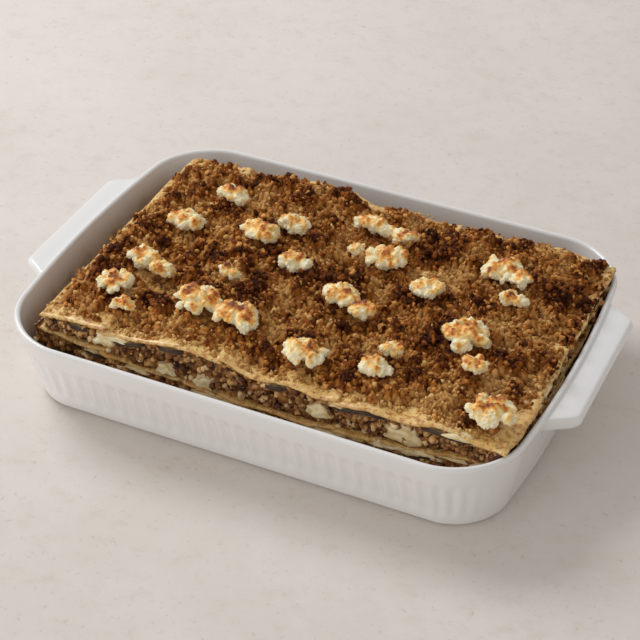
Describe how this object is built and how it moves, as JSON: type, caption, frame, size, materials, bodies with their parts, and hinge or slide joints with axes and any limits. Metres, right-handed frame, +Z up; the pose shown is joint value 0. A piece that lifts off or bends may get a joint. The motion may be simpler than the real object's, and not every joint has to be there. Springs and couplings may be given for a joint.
{
  "type": "lasagne in a baking dish",
  "caption": "Layered pasta bake with mince, aubergine and toasted white cheese in a white fluted ceramic baking dish with two slab handles.",
  "frame": {"origin": "on the resting plane, under the middle of the whole part's bounding box", "axes": "+X along the dish's long side, through the handles, +Z up, -Y the side with the open front of the food"},
  "size_m": [0.3684, 0.2538, 0.0857],
  "materials": {
    "ceramic_white": "gloss",
    "pasta": "satin",
    "mince_filling": "satin",
    "browned_mince": "matte",
    "aubergine": "satin",
    "white_sauce": "satin",
    "toasted_cheese": "matte"
  },
  "bodies": {
    "root": {"dish": "ceramic_white", "filling_bottom": "mince_filling", "filling_middle": "mince_filling", "pasta_middle_1": "pasta", "pasta_middle_2": "pasta", "pasta_middle_3": "pasta", "pasta_middle_4": "pasta", "pasta_top_1": "pasta", "pasta_top_2": "pasta", "pasta_top_3": "pasta", "pasta_top_4": "pasta", "aubergine_1": "aubergine", "aubergine_2": "aubergine", "aubergine_3": "aubergine", "aubergine_4": "aubergine", "aubergine_5": "aubergine", "aubergine_6": "aubergine", "aubergine_7": "aubergine", "aubergine_8": "aubergine", "cream_1": "white_sauce", "cream_2": "white_sauce", "cream_3": "white_sauce", "cream_4": "white_sauce", "cream_5": "white_sauce", "mince_top": "browned_mince", "cheese_01": "toasted_cheese", "cheese_02": "toasted_cheese", "cheese_03": "toasted_cheese", "cheese_04": "toasted_cheese", "cheese_05": "toasted_cheese", "cheese_06": "toasted_cheese", "cheese_07": "toasted_cheese", "cheese_08": "toasted_cheese", "cheese_09": "toasted_cheese", "cheese_10": "toasted_cheese", "cheese_11": "toasted_cheese", "cheese_12": "toasted_cheese", "cheese_13": "toasted_cheese", "cheese_14": "toasted_cheese", "cheese_15": "toasted_cheese", "cheese_16": "toasted_cheese", "cheese_17": "toasted_cheese", "cheese_18": "toasted_cheese", "cheese_19": "toasted_cheese", "cheese_20": "toasted_cheese", "cheese_21": "toasted_cheese", "cheese_22": "toasted_cheese", "cheese_23": "toasted_cheese", "cheese_24": "toasted_cheese", "cheese_25": "toasted_cheese", "cheese_26": "toasted_cheese", "cheese_27": "toasted_cheese", "cheese_28": "toasted_cheese"}
  },
  "joints": []
}
